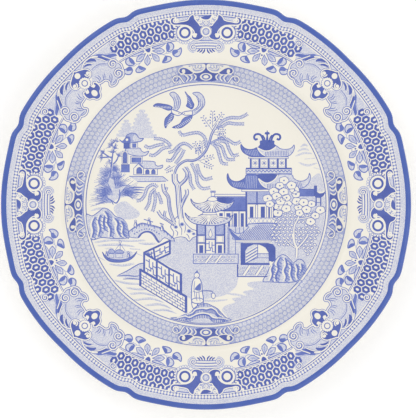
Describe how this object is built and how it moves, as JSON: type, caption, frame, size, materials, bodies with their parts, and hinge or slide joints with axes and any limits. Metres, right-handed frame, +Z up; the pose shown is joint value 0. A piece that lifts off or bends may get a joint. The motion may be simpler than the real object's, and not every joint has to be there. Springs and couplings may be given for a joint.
{
  "type": "dinner plate",
  "caption": "Round china dinner plate with a flat well, curved shoulder, sloping flange, scalloped rim and foot ring, printed in blue with a garden scene.",
  "frame": {"origin": "centre of the foot ring, on the plane of its tread, where the plate meets the table", "axes": "+Z up out of the well, along the plate's axis; +Y towards the top of the centre scene; +X to the scene's right"},
  "size_m": [0.2654, 0.2654, 0.0241],
  "materials": {
    "bisque": "unglazed, matte",
    "glaze": "clear glaze on cream clay, glossy",
    "blue_print": "underglaze blue line work, glossy",
    "pale_print": "underglaze pale blue tint, glossy",
    "rim_blue": "underglaze blue banding, glossy"
  },
  "bodies": {
    "root": {"bisque_body": "bisque", "centre_print": "blue_print", "shoulder_print": "blue_print", "border_print": "blue_print", "edge_print": "pale_print", "rim_line": "rim_blue", "glaze_coat": "glaze", "glaze_recess": "glaze"}
  },
  "joints": []
}
